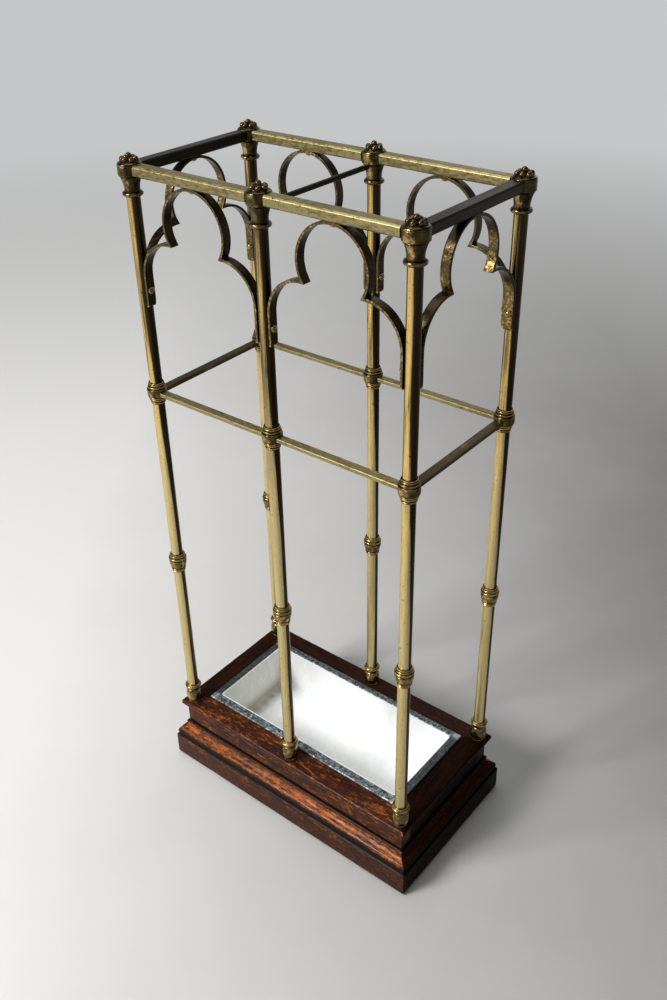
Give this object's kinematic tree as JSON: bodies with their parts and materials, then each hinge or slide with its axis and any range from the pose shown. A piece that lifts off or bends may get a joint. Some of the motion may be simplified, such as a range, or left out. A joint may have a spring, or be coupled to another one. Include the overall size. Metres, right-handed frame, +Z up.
{
  "type": "stick and umbrella stand",
  "caption": "Free-standing brass post stick and umbrella stand with cusped arches, on a moulded oak base with a lift-out drip tray.",
  "frame": {"origin": "centre of the base on the floor", "axes": "+Z up, +X along the long front towards its right end, -Y towards the front"},
  "size_m": [0.2976, 0.1676, 0.6362],
  "materials": {
    "oak": "worn french polish",
    "dark_oak": "worn french polish",
    "white_enamel": "aged gloss",
    "zinc": "oxidised",
    "cast_brass": "aged polish",
    "tube_brass": "aged satin",
    "bar_brass": "aged satin",
    "arch_brass": "aged satin",
    "screw_brass": "aged polish",
    "iron": "dull"
  },
  "bodies": {
    "stand": {"top_frame_front": "oak", "side_board_front": "oak", "plinth_front": "dark_oak", "top_frame_back": "oak", "side_board_back": "oak", "plinth_back": "dark_oak", "top_frame_left": "oak", "side_board_left": "oak", "plinth_left": "dark_oak", "top_frame_right": "oak", "side_board_right": "oak", "plinth_right": "dark_oak", "bottom_board": "dark_oak", "post_feet": "cast_brass", "post_collars": "cast_brass", "finials": "cast_brass", "tie_rods": "iron", "rod_nuts": "iron", "post_tubes_front_left": "tube_brass", "mid_hub_front_left": "cast_brass", "capital_front_left": "cast_brass", "post_tubes_front_mid": "tube_brass", "mid_hub_front_mid": "cast_brass", "capital_front_mid": "cast_brass", "post_tubes_front_right": "tube_brass", "mid_hub_front_right": "cast_brass", "capital_front_right": "cast_brass", "post_tubes_back_left": "tube_brass", "mid_hub_back_left": "cast_brass", "capital_back_left": "cast_brass", "post_tubes_back_mid": "tube_brass", "mid_hub_back_mid": "cast_brass", "capital_back_mid": "cast_brass", "post_tubes_back_right": "tube_brass", "mid_hub_back_right": "cast_brass", "capital_back_right": "cast_brass", "mid_rail_front_left": "bar_brass", "top_rail_front_left": "bar_brass", "arch_front_left": "arch_brass", "mid_rail_front_right": "bar_brass", "top_rail_front_right": "bar_brass", "arch_front_right": "arch_brass", "mid_rail_back_left": "bar_brass", "top_rail_back_left": "bar_brass", "arch_back_left": "arch_brass", "mid_rail_back_right": "bar_brass", "top_rail_back_right": "bar_brass", "arch_back_right": "arch_brass", "mid_rail_left_end": "bar_brass", "top_rail_left_end": "bar_brass", "arch_left_end": "arch_brass", "mid_rail_right_end": "bar_brass", "top_rail_right_end": "bar_brass", "arch_right_end": "arch_brass", "cross_rod": "bar_brass", "arch_crown_screws": "screw_brass", "arch_side_screws": "screw_brass"},
    "tray": {"tray_liner": "white_enamel", "tray_rim": "zinc"}
  },
  "joints": [
    {"name": "tray_lift", "type": "slide", "parent": "stand", "child": "tray", "axis": [0, 0, 1], "range_m": [0, 0.12]}
  ]
}
